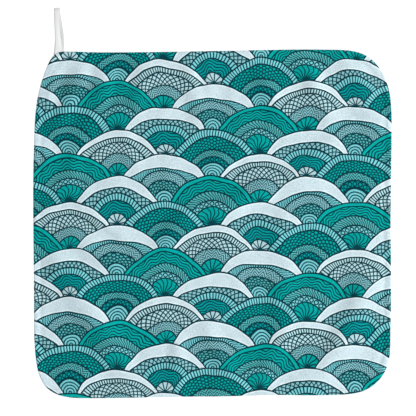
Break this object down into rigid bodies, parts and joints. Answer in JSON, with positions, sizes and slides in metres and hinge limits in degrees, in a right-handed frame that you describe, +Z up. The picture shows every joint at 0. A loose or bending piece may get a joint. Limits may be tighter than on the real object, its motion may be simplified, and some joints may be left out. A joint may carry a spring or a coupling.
{
  "type": "hand towel",
  "caption": "Square soft cloth hand towel with rounded corners, lying face up with low folds, and a ribbon loop at one corner to hang it by.",
  "frame": {"origin": "on the surface that the towel lies on, below the middle of its footprint with the hanging loop", "axes": "+Z up, out of the printed face; +Y along the side with the loop, towards the loop; +X to the right, seen from above"},
  "size_m": [0.3012, 0.3282, 0.0084],
  "materials": {
    "printed_cloth": "soft brushed plush, printed on the face",
    "ribbon": "white satin ribbon with a slight sheen"
  },
  "bodies": {
    "root": {"towel_cloth": "printed_cloth", "hanging_loop": "ribbon"}
  },
  "joints": []
}
